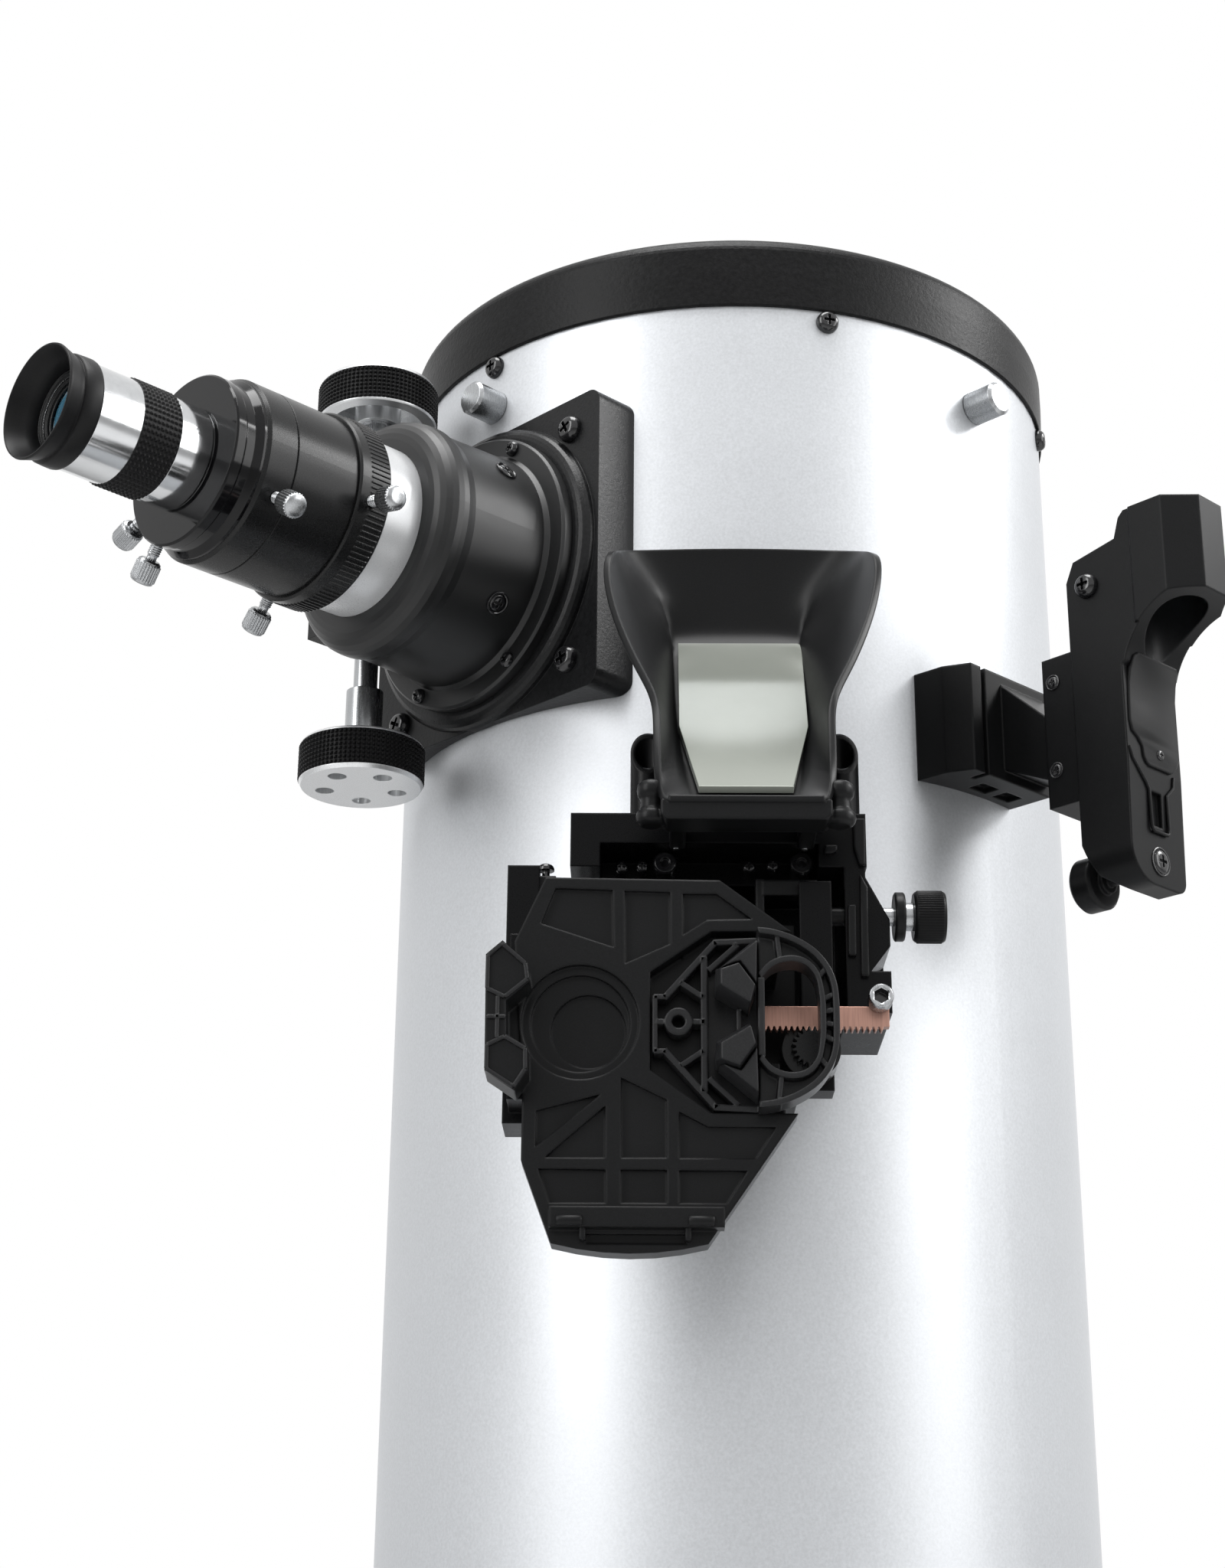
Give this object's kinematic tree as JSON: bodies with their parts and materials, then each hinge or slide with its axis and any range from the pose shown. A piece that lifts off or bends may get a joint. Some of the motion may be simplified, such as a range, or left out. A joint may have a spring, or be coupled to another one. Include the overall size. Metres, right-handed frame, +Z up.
{
  "type": "dobsonian telescope",
  "caption": "Newtonian reflector on a rocker-box base, with a side focuser, eyepiece, reflex finder and a phone dock with a tilted mirror and sliding jaws.",
  "frame": {"origin": "floor point under the middle of the ground board", "axes": "+Z up along the tube at rest, X along the altitude axis, -Y towards the user and the phone dock"},
  "size_m": [0.4999, 0.5, 1.2387],
  "materials": {
    "tube_paint": "metallic speckle",
    "black_powder": "fine texture",
    "ring_coat": "powder coated",
    "black_metal": "satin anodised",
    "gloss_black": "gloss anodised",
    "chrome": "polished",
    "steel": "brushed",
    "white_metal": "satin",
    "black_rubber": "knurled",
    "black_plastic": "matte moulded",
    "white_plastic": "smooth",
    "copper": "satin",
    "mirror_glass": "polished",
    "lens_glass": "coated",
    "board": "laminated",
    "die_cast": "satin"
  },
  "bodies": {
    "base": {"ground_board": "board", "base_feet": "black_rubber", "azimuth_glides": "white_plastic", "azimuth_pivot": "steel"},
    "rocker": {"rocker_floor": "board", "side_panels": "board", "front_panel": "board", "carry_handle": "black_powder", "altitude_pads": "white_plastic", "eyepiece_rack": "black_powder", "panel_bolts": "steel"},
    "tube": {"optical_tube": "tube_paint", "front_ring": "ring_coat", "button_screws": "gloss_black", "spider": "black_powder", "spider_nuts": "chrome", "secondary_holder": "black_plastic", "secondary_mirror": "mirror_glass", "mirror_cell": "die_cast", "mirror_tray": "die_cast", "primary_mirror": "mirror_glass", "collimation_springs": "steel", "trunnions": "black_plastic", "focuser_plate": "black_metal", "focuser_housing": "black_metal", "axle_block": "black_metal", "finder_bracket": "black_plastic", "finder_body": "black_plastic", "finder_window": "lens_glass", "dock_bracket": "black_plastic", "dock_rods": "steel", "dock_hood": "black_plastic", "dock_mirror": "mirror_glass"},
    "cell_knob_a": {"collimation_knob_a": "black_plastic"},
    "cell_knob_b": {"collimation_knob_b": "black_plastic"},
    "cell_knob_c": {"collimation_knob_c": "black_plastic"},
    "draw": {"drawtube": "white_metal", "drawtube_collar": "black_metal", "extension_tube": "black_metal", "eyepiece_adapter": "gloss_black"},
    "collar_screw_a": {"collar_thumbscrew_a": "chrome"},
    "collar_screw_b": {"collar_thumbscrew_b": "chrome"},
    "extension_screw": {"extension_thumbscrew": "chrome"},
    "adapter_screw_a": {"adapter_thumbscrew_a": "chrome"},
    "adapter_screw_b": {"adapter_thumbscrew_b": "chrome"},
    "eyepiece": {"eyepiece_body": "chrome", "eyepiece_grip": "black_rubber", "eyecup": "black_rubber", "eye_lens": "lens_glass"},
    "axle": {"focus_axle": "steel", "focus_knobs": "white_metal", "knob_grips": "black_rubber"},
    "carriage": {"dock_carriage": "black_plastic", "cross_rods": "steel"},
    "platform": {"phone_platform": "black_plastic", "adjust_rack": "copper"},
    "jaw": {"right_jaw": "black_plastic"},
    "pinion": {"adjust_pinion": "black_plastic"},
    "height_wheel": {"side_knob": "black_plastic"},
    "tilt_knob": {"finder_knob": "black_plastic"}
  },
  "joints": [
    {"name": "azimuth", "type": "hinge", "parent": "base", "child": "rocker", "pos_m": [0, 0, 0], "axis": [0, 0, 1], "continuous": true},
    {"name": "altitude", "type": "hinge", "parent": "rocker", "child": "tube", "pos_m": [0, 0, 0.63007], "axis": [-1, 0, 0], "range_deg": [0, 88]},
    {"name": "focus", "type": "slide", "parent": "tube", "child": "draw", "axis": [-0.7071, -0.7071, 0], "range_m": [-0.013, 0.024]},
    {"name": "focus_turn", "type": "hinge", "parent": "tube", "child": "axle", "pos_m": [-0.12452, -0.07813, 1.12403], "axis": [0, 0, 1], "range_deg": [-360, 200]},
    {"name": "eyepiece_pull", "type": "slide", "parent": "draw", "child": "eyepiece", "axis": [-0.7071, -0.7071, 0], "range_m": [0, 0.045]},
    {"name": "collar_screw_a_turn", "type": "hinge", "parent": "draw", "child": "collar_screw_a", "pos_m": [-0.13668, -0.13668, 1.12403], "axis": [0.6876, -0.6876, -0.2334], "range_deg": [-360, 360]},
    {"name": "collar_screw_b_turn", "type": "hinge", "parent": "draw", "child": "collar_screw_b", "pos_m": [-0.13633, -0.13633, 1.12403], "axis": [-0.4822, 0.4822, -0.7314], "range_deg": [-360, 360]},
    {"name": "extension_screw_turn", "type": "hinge", "parent": "draw", "child": "extension_screw", "pos_m": [-0.15973, -0.15973, 1.12403], "axis": [0.5997, -0.5997, -0.5299], "range_deg": [-360, 360]},
    {"name": "adapter_screw_a_turn", "type": "hinge", "parent": "draw", "child": "adapter_screw_a", "pos_m": [-0.16893, -0.16893, 1.12403], "axis": [-0.6645, 0.6645, -0.342], "range_deg": [-360, 360]},
    {"name": "adapter_screw_b_turn", "type": "hinge", "parent": "draw", "child": "adapter_screw_b", "pos_m": [-0.16893, -0.16893, 1.12403], "axis": [-0.4353, 0.4353, -0.788], "range_deg": [-360, 360]},
    {"name": "cell_knob_a_turn", "type": "hinge", "parent": "tube", "child": "cell_knob_a", "pos_m": [0, 0.078, 0.11807], "axis": [0, 0, 1], "range_deg": [-360, 360]},
    {"name": "cell_knob_b_turn", "type": "hinge", "parent": "tube", "child": "cell_knob_b", "pos_m": [-0.06755, -0.039, 0.11807], "axis": [0, 0, 1], "range_deg": [-360, 360]},
    {"name": "cell_knob_c_turn", "type": "hinge", "parent": "tube", "child": "cell_knob_c", "pos_m": [0.06755, -0.039, 0.11807], "axis": [0, 0, 1], "range_deg": [-360, 360]},
    {"name": "dock_height", "type": "slide", "parent": "tube", "child": "carriage", "axis": [0, 0, 1], "range_m": [-0.007, 0.007]},
    {"name": "height_turn", "type": "hinge", "parent": "tube", "child": "height_wheel", "pos_m": [0, -0.1755, 0.97773], "axis": [1, 0, 0], "range_deg": [-95, 95]},
    {"name": "dock_cross", "type": "slide", "parent": "carriage", "child": "platform", "axis": [1, 0, 0], "range_m": [-0.007, 0.007]},
    {"name": "cross_turn", "type": "hinge", "parent": "carriage", "child": "pinion", "pos_m": [0.015, -0.1775, 0.93513], "axis": [0, -1, 0], "range_deg": [-90, 90]},
    {"name": "jaw_open", "type": "slide", "parent": "platform", "child": "jaw", "axis": [1, 0, 0], "range_m": [0, 0.03], "stiffness_N_per_m": 150, "springref_m": -0.01},
    {"name": "tilt_turn", "type": "hinge", "parent": "tube", "child": "tilt_knob", "pos_m": [0.11323, -0.11725, 1.00773], "axis": [0.6947, -0.7193, 0], "range_deg": [-360, 360]}
  ],
  "couplings": [
    {"joint": "focus_turn", "follows": "focus", "rad_per_m": -250},
    {"joint": "height_turn", "follows": "dock_height", "rad_per_m": -222.22},
    {"joint": "cross_turn", "follows": "dock_cross", "rad_per_m": -200}
  ]
}
